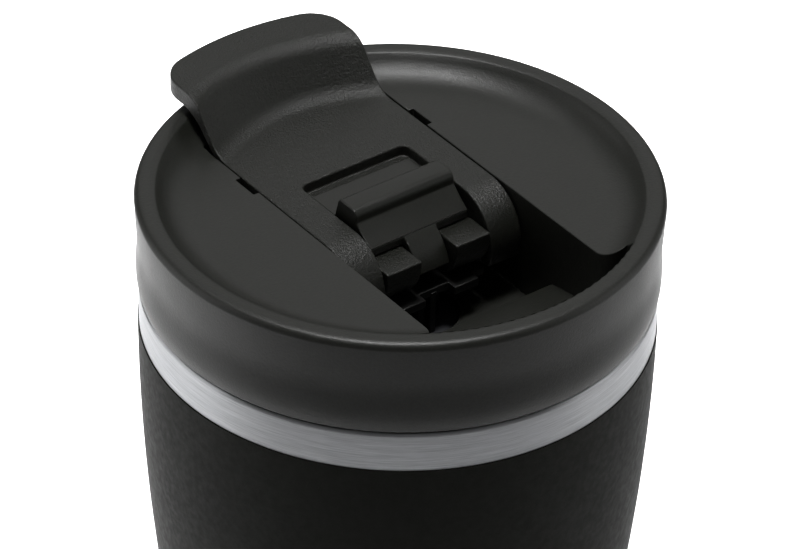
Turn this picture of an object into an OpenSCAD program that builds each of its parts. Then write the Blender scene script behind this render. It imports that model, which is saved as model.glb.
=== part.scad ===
// Insulated travel mug with a screw-in drinking lid.
// Origin: centre of the underside, +Z up. The drinking side faces -Y and the
// thumb tab points to +Y, so the lever turns about a pin along X.
// Everything in the lid is measured from its rim plane (at_rim), just below the
// rounding of the wall; the crown of the rim stands a little above it.

/* [Steel body] */
// Height of the steel lip above the table
mug_h = 142; // [115:1:190]
// Outer diameter of the bare steel band at the mouth
mouth_d = 87; // [72:0.5:106]
// Height of steel left bare below the lip
band_h = 7.3; // [4:0.1:14]
// Sheet thickness of the outer shell and of the liner
sheet_t = 0.5; // [0.4:0.1:0.8]
// Width of the vacuum gap between the two steel walls
vacuum_gap = 3.2; // [2.4:0.1:4.5]
// Radius of the curve that the side follows below the band
side_curve_r = 435; // [350:5:600]
// Height over which the side curves, before it runs straight to the base
side_curve_h = 55; // [40:1:66]
// Thickness of the coloured coat
coat_t = 0.2; // [0.15:0.05:0.4]
// Rounding at the bottom of the shell
foot_r = 3; // [2:0.5:5]
// Height of the liner's floor above the table
floor_h = 9.5; // [8:0.5:16]

/* [Base] */
// How far the pad stands below the steel
pad_proud = 0.6; // [0.4:0.1:0.8]
// Width of the shell's turned-in bottom flange
base_flange_w = 2; // [1.5:0.5:3]

/* [Lid] */
// Height of the lid's wall, from its lower edge to the rim plane
lid_h = 16.2; // [13.5:0.1:20]
// How far the lid's rim stands out past the steel band
lid_lap = 0.5; // [0.2:0.1:1.5]
// Gap between the lid's lower edge and the steel lip
lid_gap = 0.3; // [0.2:0.1:0.6]
// Height of the rim's crown above the rim plane
crown_h = 1.6; // [1.2:0.1:2]
// Radius of the crown's cross-section
crown_r = 4.5; // [4:0.1:6]
// Width of the crown, from the lid's wall in to its crease
crown_w = 3.65; // [3.2:0.05:4.2]
// Depth of the flat deck below the rim plane
deck_drop = 1.8; // [1.4:0.1:2.4]
// Width of the dish between the deck and the rim
dish_w = 6.4; // [5.6:0.1:7.4]
// Wall thickness of the lid moulding
lid_wall = 1.8; // [1.5:0.1:2]
// Thickness of the lid's outer wall
lid_skirt_t = 2.3; // [2:0.1:2.5]
// Depth of the valve seat floor below the rim plane
seat_drop = 20.8; // [20.5:0.1:23]
// Radius of the drink opening in the seat
seat_hole_r = 7; // [6:0.1:7.5]

/* [Lever] */
// Width of the flip lever
lever_w = 34.5; // [30:0.5:42]
// Gap between the lever and each side of its channel
lever_gap = 0.25; // [0.2:0.05:0.4]
// Thickness of the lever's plate
lever_t = 2.2; // [1.8:0.1:2.2]
// Thickness of the thumb tab
tab_t = 3.2; // [2.8:0.1:3.4]
// How far the thumb tab reaches past the rim
tab_reach = 3.9; // [2:0.1:6]
// Height of the thumb tab's top above the rim plane
tab_rise = 6.45; // [6:0.05:8]
// Corner radius of the thumb tab
tab_corner_r = 6.5; // [4:0.5:9]
// Distance of the hinge axis in front of the mug's axis
hinge_fwd = 2.5; // [1.5:0.1:3.5]
// Depth of the hinge axis below the rim plane
hinge_drop = 10.2; // [10:0.1:10.6]
// Diameter of the hinge pin
pin_d = 3; // [2.5:0.1:3.6]
// Opening angle of the lever
lever_open = 90; // [60:5:90]

/* [Lock] */
// Width of the lever's window, between its two arms
window_w = 21.8; // [20:0.1:23]
// Distance from the mug's axis to the back edge of the window
window_back = 13.3; // [12:0.1:14]
// Travel of the lock slide
slide_travel = 2.1; // [1.5:0.1:2.6]
// Gap between the slide's parts and what they slide past
slide_gap = 0.3; // [0.2:0.05:0.4]

/* [Valve] */
// Travel of the valve plunger
valve_travel = 4.9; // [3.5:0.1:5]
// Diameter of the valve stem
stem_d = 5; // [4:0.1:6]
// Radius of the soft valve disc
valve_r = 9; // [8.5:0.1:9.5]
// Radius of the well that the valve works in
well_r = 11.5; // [11:0.1:12]

/* [Screw thread] */
// Rise of the lid in one turn, on two starts
thread_lead = 10; // [8:0.5:12]
// Height of one thread ridge
thread_w = 1.8; // [1.4:0.1:2]
// Depth of the lid plug below the rim plane
plug_drop = 38; // [38:0.5:42]

/* [Hidden] */
$fn = 96;

charcoal = "#232325";
graphite = "#2c2c2e";
steel = "#c3c5c8";
silicone = "#8d8f92";
eps = 0.01;
cut = 60;

// Steel body
mouth_r = mouth_d / 2;
band_z = mug_h - band_h;
shell_z = pad_proud;
liner_inset = 2 * sheet_t + vacuum_gap;
liner_r = mouth_r - liner_inset;
lip_round = 0.7;
side_slope = tan(asin(side_curve_h / side_curve_r));
side_steps = 12;
foot_x = mouth_r - side_in(band_z - shell_z - foot_r) - foot_r;
base_hole_r = foot_x - base_flange_w;

// Lid, from the rim plane
lid_z = mug_h + lid_gap + lid_h;
lid_r = mouth_r + lid_lap;
lip_drop = lid_h + lid_gap;
rim_round = 1.3;
rim_tilt = 12;
crease_r = lid_r - crown_w;
crown_x = lid_r - rim_round - (crown_r - rim_round) * sin(rim_tilt);
crown_z = crown_h - crown_r;
round_z = crown_z + (crown_r - rim_round) * cos(rim_tilt);
crease_a = acos((crease_r - crown_x) / crown_r);
crease_z = crown_z + crown_r * sin(crease_a);
dish_r0 = crease_r - dish_w;
dish_rise = crease_z + deck_drop;
dish_curve = (dish_w * dish_w + dish_rise * dish_rise) / (2 * dish_rise);
skirt_in = lid_r - 0.2 - lid_skirt_t;
trough_r = crease_r + 0.3;
channel_x = lever_w / 2 + lever_gap;
deck_low = -deck_drop - 2.2;
corner_r = 3.5;
corner_y = sqrt(trough_r * trough_r - pow(channel_x + corner_r, 2)) - 5.1;

// Lid plug and its gasket
gasket_h = 1.6;
flange_t = 1.3;
flange_top = gasket_h + flange_t - lip_drop;
plug_r = liner_r - 2;
plug_wall = 1.8;
spigot_r = plug_r - plug_wall - 0.1;
spigot_low = flange_top - 4;
ledge_out = flange_top + 0.2 + lid_wall;
ledge_in = ledge_out - 3;
ledge_y = 19;
pit_y = 17.5;

// Lever
hinge_y = -hinge_fwd;
hinge_z = -hinge_drop;
lever_top = -deck_drop;
roll_r = hinge_drop - deck_drop;
arm_end = 205;
hub_r = pin_d / 2 + 1.4;
bend_r = 4.5;
bend_a = 54;
bend_x = lid_r - 13.4;
ramp_t = lever_t - 0.8;
ramp_len = (tab_rise + deck_drop - 2 * bend_r * (1 - cos(bend_a))) / sin(bend_a);
bend_low = [bend_x, lever_top + bend_r];
ramp_end = bend_low + bend_r * [sin(bend_a), -cos(bend_a)] + ramp_len * [cos(bend_a), sin(bend_a)];
bend_high = ramp_end + bend_r * [sin(bend_a), -cos(bend_a)];
channel_back = bend_x + bend_r + 1.1;
tab_r = lid_r + tab_reach;
tab_corner_x = lever_w / 2 - tab_corner_r;
tab_corner_y = sqrt(pow(tab_r - tab_corner_r, 2) - tab_corner_x * tab_corner_x);
pin_clear = 0.05;

// Cam on the lever: its lower face follows cam_base + cam_rate * angle
cam_base = 3.5;
cam_rate = valve_travel / (lever_open * PI / 180);
cam_top = -6;
cam_in = 3.6;
cam_out = window_w / 2 - 0.3;
cam_steps = 9;

// Lock
slot_back = 5.5;
floor_top = -3.8;
floor_low = -4.7;
keeper_y = window_back + 2.1;
keeper_l = 2.6;
keeper_top = floor_low;
keeper_low = keeper_top - 1.3;
bolt_top = keeper_low - slide_gap;
bolt_low = bolt_top - 1.5;
bolt_back = keeper_y - 0.5;
web_t = 2;
channel_low = bolt_low - 1;
plate_back = window_back - 0.1 - slide_travel;
plate_t = 0.5;
slide_w = window_w - 1.6;
tongue_w = 6.6;
web_back = slot_back - slide_gap - slide_travel;

// Valve
valve_y = hinge_y - cam_rate;
head_top = hinge_z - cam_base - 0.05;
head_t = 1.5;
seat_low = -seat_drop - 2;
seal_t = 2.5;
retainer_t = 1;
retainer_low = seat_low - 0.02 - seal_t - retainer_t;
guide_h = 2.5;
guide_low = -plug_drop + 1;
guide_top = guide_low + guide_h;
stem_low = guide_low + 0.4;
ring_wire = 0.75;
spring_wire = 0.35;
spring_r = stem_d / 2 + 1.1;
spring_turns = 3.5;

// Thread: ridges start this far below the rim plane
plug_thread_z = -plug_drop + 3;
ridge_span = 170;
ridge_steps = 17;
flank_gap = 0.4;
liner_ridge_r = liner_r - 1.2;
plug_ridge_r = plug_r + 1.3;
liner_thread_z = lid_z + plug_thread_z + thread_w + flank_gap - thread_lead / 2;

// How far the side lies inside the band's radius, at a depth below the band
function side_in(d) = d <= side_curve_h
    ? side_curve_r - sqrt(side_curve_r * side_curve_r - d * d)
    : side_in(side_curve_h) + (d - side_curve_h) * side_slope;

function arc(c, r, a0, a1, n) =
    [for (i = [0:n]) let (a = a0 + (a1 - a0) * i / n) c + r * [cos(a), sin(a)]];

// Points down the side from one height to another, moved in by inset
function side(z0, z1, inset) = [for (i = [0:side_steps])
    let (z = z0 + (z1 - z0) * i / side_steps) [mouth_r - inset - side_in(max(0, band_z - z)), z]];

function reversed(p) = [for (i = [len(p) - 1:-1:0]) p[i]];

module at_rim() { translate([0, 0, lid_z]) children(); }

// Extrude a (y, z) outline along X, centred
module along_x(w) { translate([-w / 2, 0, 0]) rotate([90, 0, 90]) linear_extrude(w) children(); }

// The same outline at both sides, from x0 out to x1
module both_sides(x0, x1) {
    for (s = [-1, 1]) translate([s * (x0 + x1) / 2, 0, 0]) along_x(x1 - x0) children();
}

module tube(r_out, r_in, h) {
    difference() {
        cylinder(r = r_out, h = h);
        translate([0, 0, -1]) cylinder(r = r_in, h = h + 2);
    }
}

// A ridge that climbs round the Z axis in small steps, from root radius ra to tip radius rb
module thread_ridge(ra, rb, w) {
    step = ridge_span / ridge_steps;
    tip = w * 0.3;
    for (i = [0:ridge_steps - 1]) rotate([0, 0, step * i])
        translate([0, 0, thread_lead * step * (i + 0.5) / 360]) rotate_extrude(angle = step + 0.5)
            polygon([[ra, -w / 2], [rb, -tip], [rb, tip], [ra, w / 2]]);
}

module two_starts() { for (a = [0, 180]) rotate([0, 0, a]) children(); }

// ---------------------------------------------------------------- steel body

// Outer steel wall: bare band at the mouth, lip rolled in to meet the liner
module outer_shell() {
    foot = foot_r - sheet_t;
    outside = concat(
        [[liner_r + sheet_t, mug_h]],
        arc([mouth_r - lip_round, mug_h - lip_round], lip_round, 90, 0, 4),
        side(band_z, shell_z + foot_r, 0),
        arc([foot_x, shell_z + foot_r], foot_r, 0, -90, 5),
        [[base_hole_r, shell_z]]);
    inside = concat(
        [[liner_r + sheet_t, mug_h - sheet_t]],
        arc([mouth_r - lip_round, mug_h - lip_round], lip_round - sheet_t, 90, 0, 4),
        side(band_z, shell_z + foot_r, sheet_t),
        arc([foot_x, shell_z + foot_r], foot, 0, -90, 5),
        [[base_hole_r, shell_z + sheet_t]]);
    color(steel) rotate_extrude() polygon(concat(outside, reversed(inside)));
}

// Powder coat over the outer wall, from below the bare band to the base
module body_coat() {
    foot = [foot_x, shell_z + foot_r];
    outside = concat(side(band_z, foot[1], -coat_t), arc(foot, foot_r + coat_t, 0, -80, 5));
    inside = concat(side(band_z, foot[1], 0), arc(foot, foot_r, 0, -80, 5));
    color(charcoal) rotate_extrude() polygon(concat(outside, reversed(inside)));
}

// Inner steel wall that holds the drink, with its two rolled-in thread ridges
module inner_liner() {
    corner = 6;
    low = floor_h + corner;
    x = mouth_r - liner_inset - side_in(band_z - low) - corner;
    outside = concat([[liner_r + sheet_t, mug_h]], side(band_z, low, liner_inset - sheet_t),
        arc([x, low], corner + sheet_t, 0, -90, 6), [[0, floor_h - sheet_t]]);
    inside = concat([[liner_r, mug_h]], side(band_z, low, liner_inset),
        arc([x, low], corner, 0, -90, 6), [[0, floor_h]]);
    color(steel) {
        rotate_extrude() polygon(concat(outside, reversed(inside)));
        translate([0, 0, liner_thread_z])
            two_starts() thread_ridge(liner_r + 0.2, liner_ridge_r, thread_w);
    }
}

// Disc that closes the vacuum space, welded on the shell's bottom flange
module base_plate() {
    color(steel) translate([0, 0, shell_z + sheet_t]) cylinder(r = foot_x - 0.4, h = sheet_t);
}

// Gas-absorbing pellet in the vacuum space
module getter() {
    color("dimgray") translate([foot_x / 2, 0, shell_z + 2 * sheet_t]) cylinder(r = 5, h = 1.5);
}

// Solder bead that closes the pumping hole under the base plate
module vacuum_seal() {
    bead = 0.4;
    color("silver") translate([0, 0, shell_z + sheet_t - bead]) cylinder(r = 3, h = bead);
}

// Soft foot glued under the base plate
module base_pad() {
    color(charcoal) difference() {
        cylinder(r = base_hole_r - 0.2, h = shell_z + sheet_t);
        translate([0, 0, shell_z + sheet_t - 0.6]) cylinder(r = 4, h = 1);
        translate([0, 0, -1]) tube(base_hole_r * 0.7, base_hole_r * 0.7 - 1.5, 1.3);
    }
}

// ----------------------------------------------------------------------- lid

// Soft ring between the plug's flange and the steel lip
module lid_seal() {
    color(silicone) at_rim() translate([0, 0, -lip_drop]) tube(skirt_in - 0.3, liner_r + 0.4, gasket_h);
}

// Outline of the channel and of the drinking trough, seen from above
module channel_plan() {
    difference() {
        intersection() {
            circle(r = trough_r);
            union() {
                intersection() {
                    circle(r = channel_back);
                    translate([-channel_x, 0]) square([2 * channel_x, cut]);
                }
                translate([-channel_x, -cut]) square([2 * channel_x, cut + eps]);
                translate([-channel_x - corner_r, -cut])
                    square([2 * (channel_x + corner_r), cut - corner_y]);
            }
        }
        for (s = [-1, 1]) translate([s * (channel_x + corner_r), -corner_y]) circle(r = corner_r);
    }
}

// Floor line of the channel and the trough, from back to front, moved down by t
function trough_floor(t) = concat(
    [[channel_back + t, channel_low - t]],
    arc([hinge_y, hinge_z], seat_drop - hinge_drop + t, 0, -90, 8),
    [[-pit_y - t / 2, -seat_drop - t], [-ledge_y - t / 2, ledge_in - t], [-cut, ledge_in - t
        + (ledge_out - ledge_in) * (cut - ledge_y) / (spigot_r - ledge_y)]]);

module trough_side(t, top) {
    polygon(concat([[-cut, top], [channel_back + t, top]], trough_floor(t)));
}

// Solid block for the trough's walls and floor, out to half_w and back to y = back
module trough_block(half_w, back) {
    intersection() {
        along_x(2 * half_w) trough_side(lid_wall, deck_low + 0.2);
        translate([-cut, -cut, -cut]) cube([2 * cut, cut + back, 2 * cut]);
    }
}

// Moulded top of the lid: rim, dished deck, lever channel, trough and valve seat
module lid_shell() {
    belly = lid_r - 0.1;
    foot = lid_r - 0.4;
    profile = concat(
        [[0, deck_low], [0, -deck_drop]],
        arc([dish_r0, dish_curve - deck_drop], dish_curve, -90, -90 + asin(dish_w / dish_curve), 8),
        arc([crown_x, crown_z], crown_r, crease_a, 90 - rim_tilt, 8),
        arc([lid_r - rim_round, round_z], rim_round, 65, 0, 6),
        [[lid_r - 0.2, -4], [lid_r - 0.4, -8], [belly - 0.05, -lid_h + 4.6]],
        [[belly, -lid_h + 3.2], [belly - 0.05, -lid_h + 1.8], [foot, -lid_h + 0.5]],
        arc([foot - 0.5, -lid_h + 0.5], 0.5, 0, -90, 4),
        [[skirt_in, -lid_h], [skirt_in, deck_low - 1.5], [skirt_in - 1.5, deck_low]]);
    boss = 4;
    color(charcoal) at_rim() difference() {
        union() {
            difference() {
                rotate_extrude() polygon(profile);
                translate([0, 0, deck_low - 2]) linear_extrude(cut) channel_plan();
            }
            difference() {
                union() {
                    intersection() {
                        union() {
                            translate([0, 0, -cut]) cylinder(r = spigot_r, h = 2 * cut);
                            translate([0, 0, flange_top + 0.1]) cylinder(r = skirt_in + 0.2, h = cut);
                        }
                        union() {
                            trough_block(channel_x + lid_wall, channel_back + lid_wall);
                            trough_block(channel_x + corner_r + lid_wall, corner_r - corner_y);
                        }
                    }
                    translate([0, 0, spigot_low]) tube(spigot_r, spigot_r - lid_wall,
                        deck_low - spigot_low + 0.2);
                    for (s = [-1, 1]) translate([s * (channel_x + boss / 2), hinge_y, hinge_z])
                        rotate([0, 90, 0]) cylinder(r = pin_d / 2 + 1.7, h = boss, center = true);
                }
                intersection() {
                    along_x(2 * cut) trough_side(0, cut);
                    translate([0, 0, -cut]) linear_extrude(2 * cut) channel_plan();
                }
            }
            // keeper bar that the lock bolt slides under
            along_x(2 * channel_x + 2 * eps) translate([keeper_y, keeper_low])
                square([keeper_l, keeper_top - keeper_low]);
        }
        translate([0, valve_y, seat_low - 1]) cylinder(r = seat_hole_r, h = 6);
        // blind holes for the hinge pin
        translate([0, hinge_y, hinge_z]) rotate([0, 90, 0])
            cylinder(d = pin_d, h = 2 * (channel_x + boss - 1), center = true);
        // notches in the deck beside the lever, over the keeper bar
        both_sides(channel_x - 1, channel_x + 1) translate([keeper_y + 0.4, deck_low - 1])
            square([5.2, 6]);
    }
}

// Threaded insert below the lid's top, with the well that the valve works in
module lid_plug() {
    low = -plug_drop;
    well_top = seat_low - 2 * ring_wire;
    color(graphite) at_rim() {
        difference() {
            union() {
                translate([0, 0, flange_top - flange_t]) cylinder(r = skirt_in - 0.2, h = flange_t);
                translate([0, 0, low]) cylinder(r = plug_r, h = flange_top - low);
            }
            difference() {
                translate([0, 0, low + plug_wall]) cylinder(r = plug_r - plug_wall, h = cut);
                translate([0, valve_y, low]) cylinder(r = well_r + plug_wall, h = well_top - low);
            }
            translate([0, valve_y, guide_low]) cylinder(r = well_r, h = cut);
            translate([0, valve_y, low - 1]) cylinder(r = well_r - 1, h = cut);
        }
        translate([0, 0, plug_thread_z])
            two_starts() thread_ridge(plug_r - 0.3, plug_ridge_r, thread_w);
    }
}

// Ring that seals the well against the underside of the valve seat
module well_ring() {
    color(silicone) at_rim() translate([0, valve_y, seat_low - ring_wire])
        rotate_extrude() translate([well_r + plug_wall / 2, 0]) circle(r = ring_wire, $fn = 24);
}

// Three-armed guide snapped into the well, which the stem slides in
module valve_guide() {
    rim = 1.8;
    hub = stem_d / 2 + 1.6;
    arm = 2;
    color(graphite) at_rim() translate([0, valve_y, guide_low]) difference() {
        union() {
            tube(well_r - 0.1, well_r - rim, guide_h);
            cylinder(r = hub, h = guide_h);
            for (a = [90, 210, 330]) rotate([0, 0, a]) translate([hub - 1, -arm / 2, 0])
                cube([well_r - hub - 0.3, arm, guide_h]);
        }
        translate([0, 0, -1]) cylinder(d = stem_d + 2 * pin_clear, h = guide_h + 2);
    }
}

// Steel pin that the lever turns on, held in the channel's side walls
module hinge_pin() {
    color(steel) at_rim() translate([0, hinge_y, hinge_z]) rotate([0, 90, 0])
        cylinder(d = pin_d, h = 2 * (channel_x + 2.6), center = true);
}

// --------------------------------------------------------------------- lever

// Half section of the lever's plate about the mug's axis: the bends follow the rim
module lever_section() {
    low = lever_top - lever_t;
    under = [bend_high[0], tab_rise - tab_t];
    polygon(concat(
        [[0, low], [0, lever_top]],
        arc(bend_low, bend_r, -90, bend_a - 90, 8),
        arc(bend_high, bend_r, bend_a + 90, 90, 8),
        [[cut, tab_rise], [cut, under[1]], under],
        [under + [-1, -0.3], under + [-2.4, -0.95], under + [-3.7, -1.85]],
        arc(bend_low, bend_r + ramp_t, bend_a - 90, -90, 8),
        [[bend_x - 3, low]]));
}

// Plan of the lever, whose free end follows the rim
module lever_plan() {
    w = tab_corner_x;
    h = tab_corner_y;
    intersection() {
        circle(r = tab_r);
        polygon([[0, 0], [2 * w, 2 * h], [-2 * w, 2 * h]]);
    }
    for (s = [-1, 1]) translate([s * w, h]) circle(r = tab_corner_r);
    translate([-lever_w / 2, hinge_y]) square([lever_w, h - hinge_y]);
}

// Rounded front end of one arm: a curved skin over two cheeks
module arm_roll() {
    skin = 2.2;
    polygon(concat(
        arc([hinge_y, hinge_z], roll_r, 90, arm_end, 20),
        arc([hinge_y, hinge_z], roll_r - skin, arm_end, 90, 20)));
}

module arm_cheek() {
    polygon(concat([[hinge_y, hinge_z], [hinge_y + 6.5, lever_top - 0.5]],
        arc([hinge_y, hinge_z], roll_r - 0.5, 90, arm_end, 20)));
    translate([hinge_y, hinge_z]) circle(r = hub_r);
}

// Cam block beside the lock's tongue; its lower face presses the plunger down
module cam_side() {
    h = [for (i = [0:cam_steps]) let (a = lever_open * i / cam_steps, n = [-sin(a), -cos(a)])
        [hinge_y, hinge_z] + (cam_base + cam_rate * a * PI / 180) * n + cam_rate * [-cos(a), sin(a)]];
    front = hinge_y - cam_base - valve_travel;
    polygon(concat([[hinge_y, hinge_z - hub_r]], h,
        [[front, cam_top], [valve_y, cam_top], [hinge_y, hinge_z + hub_r]]));
    translate([hinge_y, hinge_z]) circle(r = hub_r);
}

// Flip lever: thumb tab, plate with window, two rolled arms and two cam blocks
module lever() {
    x_in = window_w / 2;
    x_out = lever_w / 2;
    cheek = 1.8;
    color(graphite) at_rim() difference() {
        union() {
            difference() {
                union() {
                    intersection() {
                        rotate_extrude() lever_section();
                        translate([0, 0, -cut]) linear_extrude(2 * cut) lever_plan();
                    }
                    // pad under the window's floor
                    along_x(window_w + 3) translate([slot_back, floor_low])
                        square([window_back + 1.4 - slot_back, 2]);
                    both_sides(x_in, x_out) arm_roll();
                }
                // window, with its floor at the back and a slot at the front
                translate([0, 0, floor_top]) linear_extrude(cut) hull() {
                    for (s = [-1, 1]) translate([s * (x_in - 1.5), window_back - 1.5]) circle(r = 1.5);
                    translate([-x_in, slot_back - 1]) square([window_w, 1]);
                }
                translate([-x_in, -cut, -cut]) cube([window_w, cut + slot_back, 2 * cut]);
            }
            both_sides(x_in, x_in + cheek) arm_cheek();
            both_sides(x_out - cheek, x_out) arm_cheek();
            both_sides(cam_in, x_out) translate([hinge_y, hinge_z]) circle(r = hub_r);
            both_sides(cam_in, cam_out) cam_side();
        }
        translate([0, hinge_y, hinge_z]) rotate([0, 90, 0])
            cylinder(d = pin_d + 2 * pin_clear, h = 2 * cut, center = true);
    }
}

// Lock slide: thin base plate over the window's floor, ridge bar for the thumb, and
// curved front plate with its tongue between the cams
module lock_slide() {
    low = floor_top + slide_gap;
    back = 4.6;
    bar = [[plate_back, low], [plate_back, low + plate_t], [back, low + plate_t], [back - 0.2, -2],
        [3.7, 0.4], [3.3, 0.85], [2.9, 0.95], [0.3, 0.95], [-0.45, 0.85], [-0.95, 0.55], [-1.25, 0.1],
        [-1.35, -0.4], [-1.45, -1.3], [-2.2, -2], [-3.2, -2.8], [-4.3, -3.6], [-5.3, -4.3],
        [-5.9, -5], [-5.1, -6], [-3.4, -4.9], [-1.6, -3.9], [web_back - web_t - 0.1, low]];
    tongue = [[-5, -4.2], [-6.6, -5.3], [-8, -6.9], [-9, -8.6], [-9.5, -10], [-8.2, -10],
        [-7.8, -9], [-6.9, -7.6], [-5.6, -6.3], [-4.2, -5.4]];
    notch = cam_out - cam_in + 0.6;
    color(charcoal) at_rim() {
        difference() {
            along_x(slide_w) polygon(bar);
            both_sides(cam_in - slide_gap, cam_in - slide_gap + notch)
                translate([-8, -8]) square([8 - 5.4, 8]);
        }
        along_x(tongue_w) polygon(tongue);
    }
}

// Bolt under the window's floor; pushed back, it locks under the keeper bar
module lock_bolt() {
    runner_w = 1.5;
    w = slide_w - 2.2;
    color(graphite) at_rim() {
        along_x(w) translate([web_back - web_t, bolt_low])
            square([bolt_back - web_back + web_t, bolt_top - bolt_low]);
        along_x(w - 4) translate([web_back - web_t, bolt_top - eps])
            square([web_t, floor_top + slide_gap - bolt_top + eps]);
        both_sides(w / 2 - runner_w, w / 2) translate([web_back - web_t, bolt_top - eps])
            square([keeper_y - slide_travel - 0.5 - web_back + web_t, floor_low - 0.2 - bolt_top + eps]);
    }
}

// --------------------------------------------------------------------- valve

// Crosshead that the cams press on, and the stem that carries the valve disc
module valve_plunger() {
    back = hinge_y + 0.8;
    front = 11.5;
    foot_x0 = 3;
    foot_x1 = 8;
    color(graphite) at_rim() {
        translate([-cam_out, -9.6, head_top - head_t]) cube([2 * cam_out, back + 9.6, head_t]);
        for (s = [-1, 1]) translate([s > 0 ? foot_x0 : -foot_x1, -front, head_top - head_t])
            cube([foot_x1 - foot_x0, 4, head_t]);
        translate([0, valve_y, stem_low]) cylinder(d = stem_d, h = head_top - stem_low - head_t / 2);
        for (a = [0, 90]) translate([0, valve_y, seat_low - 0.02]) rotate([0, 0, a])
            translate([-4, -0.6, 0]) cube([8, 1.2, head_top - head_t / 2 - seat_low]);
    }
}

// Soft disc that closes the drink opening from below
module valve_seal() {
    color(silicone) at_rim() translate([0, valve_y, seat_low - 0.02 - seal_t]) difference() {
        cylinder(r = valve_r, h = seal_t);
        translate([0, 0, -1]) cylinder(d = stem_d, h = seal_t + 2);
    }
}

// Washer pressed on the stem under the soft disc
module seal_retainer() {
    color(graphite) at_rim() translate([0, valve_y, retainer_low]) tube(valve_r - 2.5, stem_d / 2, retainer_t);
}

// Spring that holds the valve shut
module valve_spring() {
    low = guide_top + spring_wire;
    rise = retainer_low - spring_wire - low;
    rings = 24 * spring_turns;
    n = 8;
    pts = [for (i = [0:rings]) let (a = 360 * spring_turns * i / rings) for (j = [0:n - 1])
        let (b = 360 * j / n, r = spring_r + spring_wire * cos(b))
        [r * cos(a), r * sin(a), rise * i / rings + spring_wire * sin(b)]];
    walls = [for (i = [0:rings - 1]) for (j = [0:n - 1])
        [n * i + j, n * i + n + j, n * i + n + (j + 1) % n, n * i + (j + 1) % n]];
    start = [for (j = [0:n - 1]) j];
    end = [for (j = [n - 1:-1:0]) n * rings + j];
    color(steel) at_rim() translate([0, valve_y, low]) polyhedron(pts, concat(walls, [start, end]));
}

outer_shell();
body_coat();
inner_liner();
base_plate();
getter();
vacuum_seal();
base_pad();
lid_seal();
lid_shell();
lid_plug();
well_ring();
valve_guide();
hinge_pin();
lever();
lock_slide();
lock_bolt();
valve_plunger();
valve_seal();
seal_retainer();
valve_spring();
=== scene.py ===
import bpy
import math
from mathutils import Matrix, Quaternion, Vector


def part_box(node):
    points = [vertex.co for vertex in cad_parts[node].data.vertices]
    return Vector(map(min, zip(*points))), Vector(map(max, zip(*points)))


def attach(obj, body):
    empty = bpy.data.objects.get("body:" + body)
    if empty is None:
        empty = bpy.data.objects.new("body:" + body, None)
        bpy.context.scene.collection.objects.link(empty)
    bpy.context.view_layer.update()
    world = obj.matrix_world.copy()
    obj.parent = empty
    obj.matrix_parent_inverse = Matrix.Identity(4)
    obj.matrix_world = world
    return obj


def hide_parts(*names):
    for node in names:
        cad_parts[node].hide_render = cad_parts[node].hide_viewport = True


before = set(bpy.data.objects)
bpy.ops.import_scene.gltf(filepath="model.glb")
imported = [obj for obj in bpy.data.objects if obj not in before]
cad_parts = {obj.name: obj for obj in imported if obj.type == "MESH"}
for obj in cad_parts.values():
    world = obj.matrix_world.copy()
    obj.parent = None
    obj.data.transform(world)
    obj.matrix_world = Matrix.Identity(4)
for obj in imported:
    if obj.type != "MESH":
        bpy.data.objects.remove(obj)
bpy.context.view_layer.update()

# ---------------------------------------------------------------- camera
# A long lens looks down on the lid from its front left corner, and takes in
# the lid, the steel band and the top of the coated body.

MM = 0.001
crown_h = 1.6 * MM
rim_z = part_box("lid_shell")[1].z - crown_h

turn = math.radians(-37.7)
pitch = math.radians(34.87)
roll = math.radians(1.4)
reach = 0.704

behind = Vector((math.sin(turn) * math.cos(pitch),
                 -math.cos(turn) * math.cos(pitch),
                 math.sin(pitch)))
camera = bpy.data.objects.new("camera", bpy.data.cameras.new("camera"))
bpy.context.scene.collection.objects.link(camera)
camera.location = Vector((0, 0, rim_z)) + behind * reach
camera.rotation_mode = "QUATERNION"
camera.rotation_quaternion = (-behind).to_track_quat("-Z", "Y") @ Quaternion((0, 0, 1), roll)
camera.data.sensor_width = 36
camera.data.lens = 192
camera.data.shift_x = -0.0008
camera.data.shift_y = -0.1017
camera.data.clip_start = 0.01
camera.data.clip_end = 50
bpy.context.scene.camera = camera

# ---------------------------------------------------------------- studio
# A white table under soft lamps: a wide one behind and a narrow beam from above for
# the lid's top, one at each side for the edge glows, and three low over the table.


def srgb(code):
    """Turn a hex colour into the linear values that a shader takes."""
    parts = [int(code[i:i + 2], 16) / 255 for i in (1, 3, 5)]
    return [c / 12.92 if c <= 0.04045 else ((c + 0.055) / 1.055) ** 2.4 for c in parts] + [1]


def add(tree, kind, values=None, links=None, **settings):
    """Add one shader node, with its settings, its socket values and its links."""
    made = tree.nodes.new("ShaderNode" + kind)
    for setting, value in settings.items():
        setattr(made, setting, value)
    for socket, value in (values or {}).items():
        made.inputs[socket].default_value = value
    for socket, source in (links or {}).items():
        tree.links.new(source, made.inputs[socket])
    return made


def new_finish(name, **values):
    """Start a material whose Principled shader has the given socket values."""
    finish = bpy.data.materials.new(name)
    finish.use_nodes = True
    tree = finish.node_tree
    shader = tree.nodes["Principled BSDF"]
    for socket, value in values.items():
        shader.inputs[socket.replace("_", " ")].default_value = value
    place = add(tree, "TexCoord").outputs["Object"]
    return finish, tree, shader, place


def pick(piece):
    """Make one piece the only thing selected, and the active one."""
    bpy.ops.object.select_all(action="DESELECT")
    piece.select_set(True)
    bpy.context.view_layer.objects.active = piece


def give(piece, finish):
    """Put a finish on a piece."""
    piece.data.materials.clear()
    piece.data.materials.append(finish)


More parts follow.
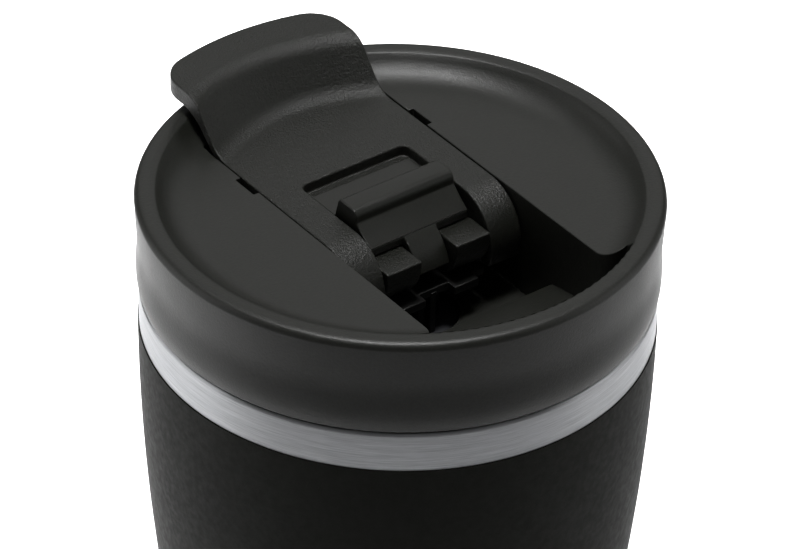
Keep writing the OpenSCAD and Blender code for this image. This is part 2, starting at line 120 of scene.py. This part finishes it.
def soft_lamp(name, place, aim, width, height, power, spread=180):
    """Hang a rectangular lamp, in metres and watts, that faces a point."""
    lamp = bpy.data.objects.new(name, bpy.data.lights.new(name, "AREA"))
    bpy.context.scene.collection.objects.link(lamp)
    lamp.data.shape = "RECTANGLE"
    lamp.data.size = width
    lamp.data.size_y = height
    lamp.data.energy = power
    lamp.data.spread = math.radians(spread)
    lamp.visible_camera = False
    lamp.location = place
    lamp.rotation_mode = "QUATERNION"
    lamp.rotation_quaternion = (Vector(aim) - Vector(place)).to_track_quat("-Z", "Y")


ahead = Vector((-math.sin(turn), math.cos(turn), 0))
right = Vector((math.cos(turn), math.sin(turn), 0))
up = Vector((0, 0, 1))
lid_centre = Vector((0, 0, rim_z))

soft_lamp("lamp_behind", ahead * 0.95 + up * 0.75, lid_centre, 1.3, 0.7, 1.35)
soft_lamp("lamp_above", lid_centre + up * 0.8, lid_centre, 0.3, 0.3, 0.22, spread=18)
soft_lamp("lamp_left", -right * 0.8 + ahead * 0.07 + up * 0.3, lid_centre, 0.7, 0.8, 1.55)
soft_lamp("lamp_right", right * 0.8 + ahead * 0.1 + up * 0.3, lid_centre, 0.7, 0.8, 1.15)
table_lamps = (("table_lamp_back", ahead * 0.26, 0.26, 1.2),
               ("table_lamp_left", ahead * 0.07 - right * 0.27, 0.34, 0.4),
               ("table_lamp_right", ahead * 0.1 + right * 0.27, 0.34, 0.15))
for name, spot, height, power in table_lamps:
    soft_lamp(name, spot + up * 0.1, spot, 0.3, height, power)

world = bpy.data.worlds.new("studio")
bpy.context.scene.world = world
world.use_nodes = True
sky = world.node_tree.nodes["Background"]
sky.inputs["Color"].default_value = (1, 1, 1, 1)
sky.inputs["Strength"].default_value = 0.1
bpy.context.scene.view_settings.view_transform = "Standard"

bpy.ops.object.select_all(action="DESELECT")
bpy.ops.mesh.primitive_plane_add(size=6, location=(0, 0, 0))
table = bpy.context.object
table.name = "table"
white_board, tree, shader, place = new_finish("white_laminate", Roughness=0.75)
mottle = add(tree, "TexNoise", {"Scale": 30, "Detail": 3}, {"Vector": place})
tone = add(tree, "ValToRGB", links={"Fac": mottle.outputs["Fac"]})
tone.color_ramp.elements[0].color = srgb("#f2f2f2")
tone.color_ramp.elements[1].color = srgb("#f7f7f7")
tree.links.new(tone.outputs["Color"], shader.inputs["Base Color"])
give(table, white_board)

# ---------------------------------------------------------------- outer steel shell
# The outer wall of the vacuum body, deep-drawn from half-millimetre stainless
# sheet, its lip rolled in to the liner. The bare band is brushed round the mug.

# points nearer than this are one point
WELD = 0.002 * MM


def arc(x, z, radius, start, end, steps):
    """Points on an arc of a half outline; angles in degrees from the outward direction."""
    angles = [math.radians(start + (end - start) * i / steps) for i in range(steps + 1)]
    return [(x + radius * math.cos(a), z + radius * math.sin(a)) for a in angles]


def lathe(name, outline):
    """Turn a closed half outline, (radius, height) in mm, about the mug's axis."""
    turned_steps = 192
    crease = 32
    corners = len(outline)
    mesh = bpy.data.meshes.new(name)
    mesh.from_pydata([(x * MM, 0, z * MM) for x, z in outline],
                     [(i, (i + 1) % corners) for i in range(corners)], [])
    piece = bpy.data.objects.new(name, mesh)
    bpy.context.scene.collection.objects.link(piece)
    pick(piece)
    bpy.ops.object.mode_set(mode="EDIT")
    bpy.ops.mesh.select_all(action="SELECT")
    bpy.ops.mesh.spin(steps=turned_steps, angle=math.tau, center=(0, 0, 0), axis=(0, 0, 1))
    bpy.ops.mesh.select_all(action="SELECT")
    bpy.ops.mesh.remove_doubles(threshold=WELD)
    bpy.ops.mesh.normals_make_consistent(inside=False)
    bpy.ops.object.mode_set(mode="OBJECT")
    bpy.ops.object.shade_smooth_by_angle(angle=math.radians(crease))
    return piece


mouth_r = 43.5
mouth_z = 142.0
band_low = mouth_z - 7.3
sheet = 0.5
wall_gap = 4.2
lip_r = 0.7
curve_r = 435.0
curve_h = 55.0
foot_r = 3.0
shell_low = 0.6
flange_w = 2.0


def side_x(z, inset=0.0):
    """Radius of the tapered side at a height: a long arc under the band, then a straight."""
    depth = max(0.0, band_low - z)
    bent = min(depth, curve_h)
    drift = curve_r - math.sqrt(curve_r ** 2 - bent ** 2)
    slope = math.tan(math.asin(curve_h / curve_r))
    return mouth_r - inset - drift - (depth - bent) * slope


def side_line(top, low, inset, steps=24):
    heights = [top + (low - top) * i / steps for i in range(steps + 1)]
    return [(side_x(z, inset), z) for z in heights]


foot_z = shell_low + foot_r
foot_x = side_x(foot_z) - foot_r
liner_x = mouth_r - wall_gap
lip_x = mouth_r - lip_r
lip_z = mouth_z - lip_r
outside = ([(liner_x + sheet, mouth_z)] + arc(lip_x, lip_z, lip_r, 90, 0, 10)
           + side_line(band_low, foot_z, 0)
           + arc(foot_x, foot_z, foot_r, 0, -90, 12) + [(foot_x - flange_w, shell_low)])
inside = ([(foot_x - flange_w, shell_low + sheet)]
          + arc(foot_x, foot_z, foot_r - sheet, -90, 0, 12)
          + side_line(foot_z, band_low, sheet)
          + arc(lip_x, lip_z, lip_r - sheet, 0, 90, 10)
          + [(liner_x + sheet, mouth_z - sheet)])
steel_shell = lathe("steel_shell", outside + inside)


def brushed_steel(name, light, dark, rough, bump, gloss_spread):
    """18/8 stainless steel brushed by a belt while it turns: long hair lines run round
    the mug, so the glow stretches up and down and breaks into fine streaks."""
    finish, tree, shader, place = new_finish(name, Metallic=1.0, Anisotropic=gloss_spread,
                                             Anisotropic_Rotation=0.25)
    # hair lines are about 0.05 mm apart; drawn 0.14 mm apart so that they show
    lines = add(tree, "Mapping", {"Scale": (140, 140, 7000)}, {"Vector": place})
    hair = add(tree, "TexNoise", {"Scale": 1.0, "Detail": 4, "Roughness": 0.65},
               {"Vector": lines.outputs["Vector"]})
    # wider tracks, where the belt pressed harder, are about 1 mm wide
    tracks = add(tree, "Mapping", {"Scale": (30, 30, 900)}, {"Vector": place})
    track = add(tree, "TexNoise", {"Scale": 1.0, "Detail": 2}, {"Vector": tracks.outputs["Vector"]})
    both = add(tree, "Mix", {"Factor": 0.25}, data_type="FLOAT")
    tree.links.new(hair.outputs["Fac"], both.inputs["A"])
    tree.links.new(track.outputs["Fac"], both.inputs["B"])
    tone = add(tree, "ValToRGB", links={"Fac": both.outputs["Result"]})
    tone.color_ramp.elements[0].position = 0.32
    tone.color_ramp.elements[0].color = srgb(dark)
    tone.color_ramp.elements[1].position = 0.68
    tone.color_ramp.elements[1].color = srgb(light)
    gloss = add(tree, "MapRange", {"From Min": 0.3, "From Max": 0.7, "To Min": rough - 0.06,
                                   "To Max": rough + 0.08}, {"Value": both.outputs["Result"]})
    relief = add(tree, "Bump", {"Strength": bump, "Distance": 0.02 * MM},
                 {"Height": both.outputs["Result"]})
    way = add(tree, "Tangent", direction_type="RADIAL", axis="Z")
    tree.links.new(tone.outputs["Color"], shader.inputs["Base Color"])
    tree.links.new(gloss.outputs["Result"], shader.inputs["Roughness"])
    tree.links.new(relief.outputs["Normal"], shader.inputs["Normal"])
    tree.links.new(way.outputs["Tangent"], shader.inputs["Tangent"])
    return finish


band_steel = brushed_steel("belt_brushed_stainless_steel", "#d6d7da", "#a4a6a9", 0.36, 0.6, 0.8)
give(steel_shell, band_steel)
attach(steel_shell, "mug")
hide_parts("outer_shell")

# ---------------------------------------------------------------- powder coat
# The black coat that is sprayed on the shell as powder and baked. It stops in a
# clean masked line under the bare band and ends in the rounding at the foot.

coat_t = 0.2
edge_r = 0.15
coat_edge = arc(side_x(band_low) + coat_t - edge_r, band_low - edge_r, edge_r, 90, 0, 4)
coat_out = coat_edge + side_line(band_low - 2 * edge_r, foot_z, -coat_t, 40)
coat_out += arc(foot_x, foot_z, foot_r + coat_t, 0, -80, 12)
coat_in = arc(foot_x, foot_z, foot_r, -80, 0, 12) + side_line(foot_z, band_low, 0, 40)
coat = lathe("powder_coat", coat_out + coat_in)

baked_powder, tree, shader, place = new_finish(
    "baked_polyester_powder_coat", Roughness=0.6, IOR=1.5, Specular_IOR_Level=0.12)
# flow ripple (orange peel) about 1.2 mm across, and powder grains of 0.2 mm
ripple = add(tree, "TexNoise", {"Scale": 800, "Detail": 2, "Roughness": 0.5}, {"Vector": place})
grain = add(tree, "TexNoise", {"Scale": 4500, "Detail": 3, "Roughness": 0.7}, {"Vector": place})
shade = add(tree, "ValToRGB", links={"Fac": grain.outputs["Fac"]})
shade.color_ramp.elements[0].position = 0.3
shade.color_ramp.elements[0].color = srgb("#10110d")
shade.color_ramp.elements[1].position = 0.75
shade.color_ramp.elements[1].color = srgb("#191a14")
tree.links.new(shade.outputs["Color"], shader.inputs["Base Color"])
gloss = add(tree, "MapRange", {"From Min": 0.3, "From Max": 0.7, "To Min": 0.54, "To Max": 0.66},
            {"Value": ripple.outputs["Fac"]})
tree.links.new(gloss.outputs["Result"], shader.inputs["Roughness"])
fine = add(tree, "Bump", {"Strength": 0.25, "Distance": 0.02 * MM},
           {"Height": grain.outputs["Fac"]})
soft = add(tree, "Bump", {"Strength": 0.2, "Distance": 0.05 * MM},
           {"Height": ripple.outputs["Fac"], "Normal": fine.outputs["Normal"]})
tree.links.new(soft.outputs["Normal"], shader.inputs["Normal"])
give(coat, baked_powder)
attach(coat, "mug")
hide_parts("body_coat")

# ---------------------------------------------------------------- liner
# The inner wall, drawn from the same sheet and electropolished. Two thread
# ridges are rolled into it near the mouth, and the lid screws onto them.


def merged_copy(node, name):
    """Copy a CAD node's mesh as a new piece, with its loose triangles joined into faces."""
    flat = 0.6
    piece = bpy.data.objects.new(name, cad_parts[node].data.copy())
    bpy.context.scene.collection.objects.link(piece)
    pick(piece)
    bpy.ops.mesh.customdata_custom_splitnormals_clear()
    bpy.ops.object.mode_set(mode="EDIT")
    bpy.ops.mesh.select_all(action="SELECT")
    bpy.ops.mesh.remove_doubles(threshold=WELD)
    bpy.ops.mesh.dissolve_limited(angle_limit=math.radians(flat))
    bpy.ops.object.mode_set(mode="OBJECT")
    return piece


def soften(piece, width, limit=40, segments=3, smooth=40):
    """Round a piece's sharp edges, as a mould or a tumbler leaves them."""
    pick(piece)
    bpy.ops.object.shade_smooth_by_angle(angle=math.radians(smooth))
    rounding = piece.modifiers.new("rounding", "BEVEL")
    rounding.width = width * MM
    rounding.segments = segments
    rounding.limit_method = "ANGLE"
    rounding.angle_limit = math.radians(limit)
    rounding.use_clamp_overlap = False
    rounding.miter_outer = "MITER_ARC"
    even = piece.modifiers.new("even_shading", "WEIGHTED_NORMAL")
    even.keep_sharp = True
    bpy.ops.object.modifier_apply(modifier="rounding")
    bpy.ops.object.modifier_apply(modifier="even_shading")


liner = merged_copy("inner_liner", "liner")
soften(liner, 0.12, limit=50, segments=2)
polished_steel = brushed_steel("electropolished_stainless_steel", "#cfcfce", "#b4b4b4",
                               0.26, 0.2, 0.3)
give(liner, polished_steel)
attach(liner, "mug")
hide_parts("inner_liner")

# ---------------------------------------------------------------- base
# A stamped steel disc closes the vacuum space, with the getter on it and a
# drop of solder over the pumping hole. A soft silicone foot is glued under it.

give(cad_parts["base_plate"], polished_steel)

sintered, tree, shader, place = new_finish("sintered_getter_alloy", Metallic=1.0, Roughness=0.7)
pores = add(tree, "TexVoronoi", {"Scale": 2500}, {"Vector": place})
shade = add(tree, "ValToRGB", links={"Fac": pores.outputs["Distance"]})
shade.color_ramp.elements[0].color = srgb("#3a3a3c")
shade.color_ramp.elements[1].color = srgb("#6a6a6c")
tree.links.new(shade.outputs["Color"], shader.inputs["Base Color"])
give(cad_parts["getter"], sintered)

solder, tree, shader, place = new_finish("dull_solder", Metallic=1.0, Roughness=0.45)
skin = add(tree, "TexNoise", {"Scale": 1500, "Detail": 4}, {"Vector": place})
shade = add(tree, "ValToRGB", links={"Fac": skin.outputs["Fac"]})
shade.color_ramp.elements[0].color = srgb("#8f9093")
shade.color_ramp.elements[1].color = srgb("#c2c3c6")
relief = add(tree, "Bump", {"Strength": 0.3, "Distance": 0.05 * MM},
             {"Height": skin.outputs["Fac"]})
tree.links.new(shade.outputs["Color"], shader.inputs["Base Color"])
tree.links.new(relief.outputs["Normal"], shader.inputs["Normal"])
give(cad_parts["vacuum_seal"], solder)

pad = merged_copy("base_pad", "foot_pad")
soften(pad, 0.15, segments=2)


def silicone_rubber(name, light, dark, rough):
    """Moulded silicone rubber: matt, slightly dusty, with a faint soft sheen."""
    finish, tree, shader, place = new_finish(name, Roughness=rough, IOR=1.41, Sheen_Weight=0.15,
                                             Sheen_Roughness=0.5)
    # the mould is vapour-blasted: a pitted skin about 0.3 mm across
    skin = add(tree, "TexNoise", {"Scale": 3300, "Detail": 3, "Roughness": 0.6}, {"Vector": place})
    dust = add(tree, "TexNoise", {"Scale": 220, "Detail": 4}, {"Vector": place})
    shade = add(tree, "ValToRGB", links={"Fac": dust.outputs["Fac"]})
    shade.color_ramp.elements[0].color = srgb(dark)
    shade.color_ramp.elements[1].color = srgb(light)
    relief = add(tree, "Bump", {"Strength": 0.3, "Distance": 0.03 * MM},
                 {"Height": skin.outputs["Fac"]})
    tree.links.new(shade.outputs["Color"], shader.inputs["Base Color"])
    tree.links.new(relief.outputs["Normal"], shader.inputs["Normal"])
    return finish


black_rubber = silicone_rubber("black_silicone_rubber", "#242426", "#1a1a1b", 0.7)
grey_rubber = silicone_rubber("grey_silicone_rubber", "#2a2b2e", "#242528", 0.6)
give(pad, black_rubber)
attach(pad, "mug")
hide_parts("base_pad")

# ---------------------------------------------------------------- lid gasket
# A soft ring that the lid presses on the steel lip. It is compression-moulded
# in dark grey silicone, with rounded corners and two thin sealing lips on its edge.

seal_low, seal_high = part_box("lid_seal")
seal_out = seal_high.x / MM
seal_in = liner_x + 0.4
seal_z0 = seal_low.z / MM
seal_z1 = seal_high.z / MM
corner = 0.3
lip = 0.25
groove = 0.18
middle = (seal_z0 + seal_z1) / 2
gasket_line = (arc(seal_in + corner, seal_z0 + corner, corner, 180, 270, 5)
               + arc(seal_out - lip, seal_z0 + lip, lip, 270, 360, 5)
               + [(seal_out - lip, middle - groove), (seal_out - lip, middle + groove)]
               + arc(seal_out - lip, seal_z1 - lip, lip, 0, 90, 5)
               + arc(seal_in + corner, seal_z1 - corner, corner, 90, 180, 5))
gasket = lathe("lid_gasket", gasket_line)
give(gasket, grey_rubber)
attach(gasket, "lid_ring")
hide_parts("lid_seal")

# ---------------------------------------------------------------- lid moulding
# The top of the lid: one polypropylene moulding with its crowned rim, dished
# deck, lever channel and drinking trough. The mould is spark-eroded.


def eroded_plastic(name, light, dark, rough, grain_mm, depth, level):
    """Black polypropylene from a spark-eroded mould: a satin skin of tiny rounded pits,
    which breaks each glow into fine sparkling grains."""
    finish, tree, shader, place = new_finish(name, IOR=1.49, Specular_IOR_Level=level)
    pits = add(tree, "TexNoise", {"Scale": 1 / (grain_mm * MM), "Detail": 3, "Roughness": 0.6},
               {"Vector": place})
    cells = add(tree, "TexVoronoi", {"Scale": 0.55 / (grain_mm * MM)}, {"Vector": place},
                feature="SMOOTH_F1")
    both = add(tree, "Mix", {"Factor": 0.35}, data_type="FLOAT")
    tree.links.new(pits.outputs["Fac"], both.inputs["A"])
    tree.links.new(cells.outputs["Distance"], both.inputs["B"])
    # slow drift of gloss over about 20 mm, from cooling and handling
    drift = add(tree, "TexNoise", {"Scale": 50, "Detail": 2}, {"Vector": place})
    shade = add(tree, "ValToRGB", links={"Fac": both.outputs["Result"]})
    shade.color_ramp.elements[0].position = 0.3
    shade.color_ramp.elements[0].color = srgb(dark)
    shade.color_ramp.elements[1].position = 0.62
    shade.color_ramp.elements[1].color = srgb(light)
    gloss = add(tree, "MapRange", {"From Min": 0.3, "From Max": 0.7, "To Min": rough - 0.04,
                                   "To Max": rough + 0.04}, {"Value": drift.outputs["Fac"]})
    relief = add(tree, "Bump", {"Strength": depth, "Distance": 0.15 * MM},
                 {"Height": both.outputs["Result"]})
    tree.links.new(shade.outputs["Color"], shader.inputs["Base Color"])
    tree.links.new(gloss.outputs["Result"], shader.inputs["Roughness"])
    tree.links.new(relief.outputs["Normal"], shader.inputs["Normal"])
    return finish


lid_top = merged_copy("lid_shell", "lid_moulding")
soften(lid_top, 0.13, limit=50, segments=2, smooth=42)
# the lid's grain is about 0.25 mm
fine_grain = eroded_plastic("spark_eroded_polypropylene_fine", "#1e1f1a", "#131410",
                            0.42, 0.25, 0.35, 0.57)
give(lid_top, fine_grain)
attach(lid_top, "lid")
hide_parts("lid_shell")

# ---------------------------------------------------------------- lid plug
# The threaded insert under the lid's top, moulded in a plain satin plastic and
# welded on. Its thread has two starts; the valve's well opens at its centre.


def satin_plastic(name, light, dark, rough):
    """Black polypropylene from a draw-polished mould: smooth, with faint flow marks."""
    finish, tree, shader, place = new_finish(name, IOR=1.49, Specular_IOR_Level=0.4)
    flow = add(tree, "Mapping", {"Scale": (180, 180, 700)}, {"Vector": place})
    marks = add(tree, "TexNoise", {"Scale": 1.0, "Detail": 5, "Distortion": 0.6},
                {"Vector": flow.outputs["Vector"]})
    skin = add(tree, "TexNoise", {"Scale": 6000, "Detail": 2}, {"Vector": place})
    shade = add(tree, "ValToRGB", links={"Fac": marks.outputs["Fac"]})
    shade.color_ramp.elements[0].color = srgb(dark)
    shade.color_ramp.elements[1].color = srgb(light)
    gloss = add(tree, "MapRange", {"To Min": rough - 0.05, "To Max": rough + 0.07},
                {"Value": marks.outputs["Fac"]})
    relief = add(tree, "Bump", {"Strength": 0.12, "Distance": 0.03 * MM},
                 {"Height": skin.outputs["Fac"]})
    tree.links.new(shade.outputs["Color"], shader.inputs["Base Color"])
    tree.links.new(gloss.outputs["Result"], shader.inputs["Roughness"])
    tree.links.new(relief.outputs["Normal"], shader.inputs["Normal"])
    return finish


satin_black = satin_plastic("satin_polypropylene", "#121211", "#0c0c0b", 0.4)
plug = merged_copy("lid_plug", "lid_plug_moulding")
soften(plug, 0.2, limit=42)
give(plug, satin_black)
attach(plug, "lid")
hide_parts("lid_plug")
give(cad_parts["well_ring"], grey_rubber)

# ---------------------------------------------------------------- valve guide
# A ring with three arms that snaps into the bottom of the well and keeps the
# valve's stem upright, moulded in the plug's plastic.

guide = merged_copy("valve_guide", "stem_guide")
soften(guide, 0.2)
give(guide, satin_black)
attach(guide, "lid")
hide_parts("valve_guide")

# ---------------------------------------------------------------- hinge pin
# A length of ground stainless rod, pressed into the channel's side walls.

ground_steel, tree, shader, place = new_finish("ground_stainless_rod", Metallic=1.0, Roughness=0.22)
rings = add(tree, "Mapping", {"Scale": (9000, 40, 40)}, {"Vector": place})
scratch = add(tree, "TexNoise", {"Scale": 1.0, "Detail": 3}, {"Vector": rings.outputs["Vector"]})
shade = add(tree, "ValToRGB", links={"Fac": scratch.outputs["Fac"]})
shade.color_ramp.elements[0].color = srgb("#9d9d9f")
shade.color_ramp.elements[1].color = srgb("#c9c9cb")
tree.links.new(shade.outputs["Color"], shader.inputs["Base Color"])
pin = merged_copy("hinge_pin", "lever_pin")
soften(pin, 0.25, segments=2)
give(pin, ground_steel)
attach(pin, "lid")
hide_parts("hinge_pin")

# ---------------------------------------------------------------- lever
# The flip lever, one moulding from thumb tab to cams. Its mould is eroded more
# coarsely than the lid's, so its bends sparkle; its edges are left slightly soft.

flip_lever = merged_copy("lever", "flip_lever")
soften(flip_lever, 0.28, limit=38, segments=3, smooth=36)
# the lever's grain is about 0.3 mm
coarse_grain = eroded_plastic("spark_eroded_polypropylene_coarse", "#1f201b", "#131410",
                              0.42, 0.3, 1.25, 0.5)
give(flip_lever, coarse_grain)
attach(flip_lever, "lever")
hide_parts("lever")

# ---------------------------------------------------------------- lock
# The slide that locks the lever: a ridge bar for the thumb with a curved front
# plate, and the flat bolt under it, both moulded in satin black.

# the slide's grain is about 0.2 mm
lock_black = eroded_plastic("spark_eroded_polypropylene_lock", "#1e1f1a", "#131410",
                            0.38, 0.2, 0.25, 0.5)
slide = merged_copy("lock_slide", "lock_slider")
soften(slide, 0.22, limit=38)
give(slide, lock_black)
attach(slide, "lock")
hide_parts("lock_slide")
bolt = merged_copy("lock_bolt", "lock_tongue")
soften(bolt, 0.15)
give(bolt, satin_black)
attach(bolt, "lock")
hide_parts("lock_bolt")

# ---------------------------------------------------------------- valve
# The crosshead and stem that the cams push down, the soft disc that shuts the
# drink opening from below, and the washer that holds the disc on.

plunger = merged_copy("valve_plunger", "valve_stem")
soften(plunger, 0.18)
give(plunger, satin_black)
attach(plunger, "valve")
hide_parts("valve_plunger")
disc = merged_copy("valve_seal", "valve_disc")
soften(disc, 0.35, segments=4)
give(disc, grey_rubber)
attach(disc, "valve")
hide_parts("valve_seal")
washer = merged_copy("seal_retainer", "disc_washer")
soften(washer, 0.2)
give(washer, satin_black)
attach(washer, "valve")
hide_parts("seal_retainer")

# ---------------------------------------------------------------- valve spring
# Hard-drawn stainless wire, coiled; it pushes the valve shut. The drawing die
# leaves fine lines on it.

drawn_wire, tree, shader, place = new_finish("drawn_stainless_wire", Metallic=1.0, Roughness=0.3)
wear = add(tree, "TexNoise", {"Scale": 2500, "Detail": 3}, {"Vector": place})
shade = add(tree, "ValToRGB", links={"Fac": wear.outputs["Fac"]})
shade.color_ramp.elements[0].color = srgb("#8b8b8d")
shade.color_ramp.elements[1].color = srgb("#bcbcbe")
tree.links.new(shade.outputs["Color"], shader.inputs["Base Color"])
give(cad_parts["valve_spring"], drawn_wire)
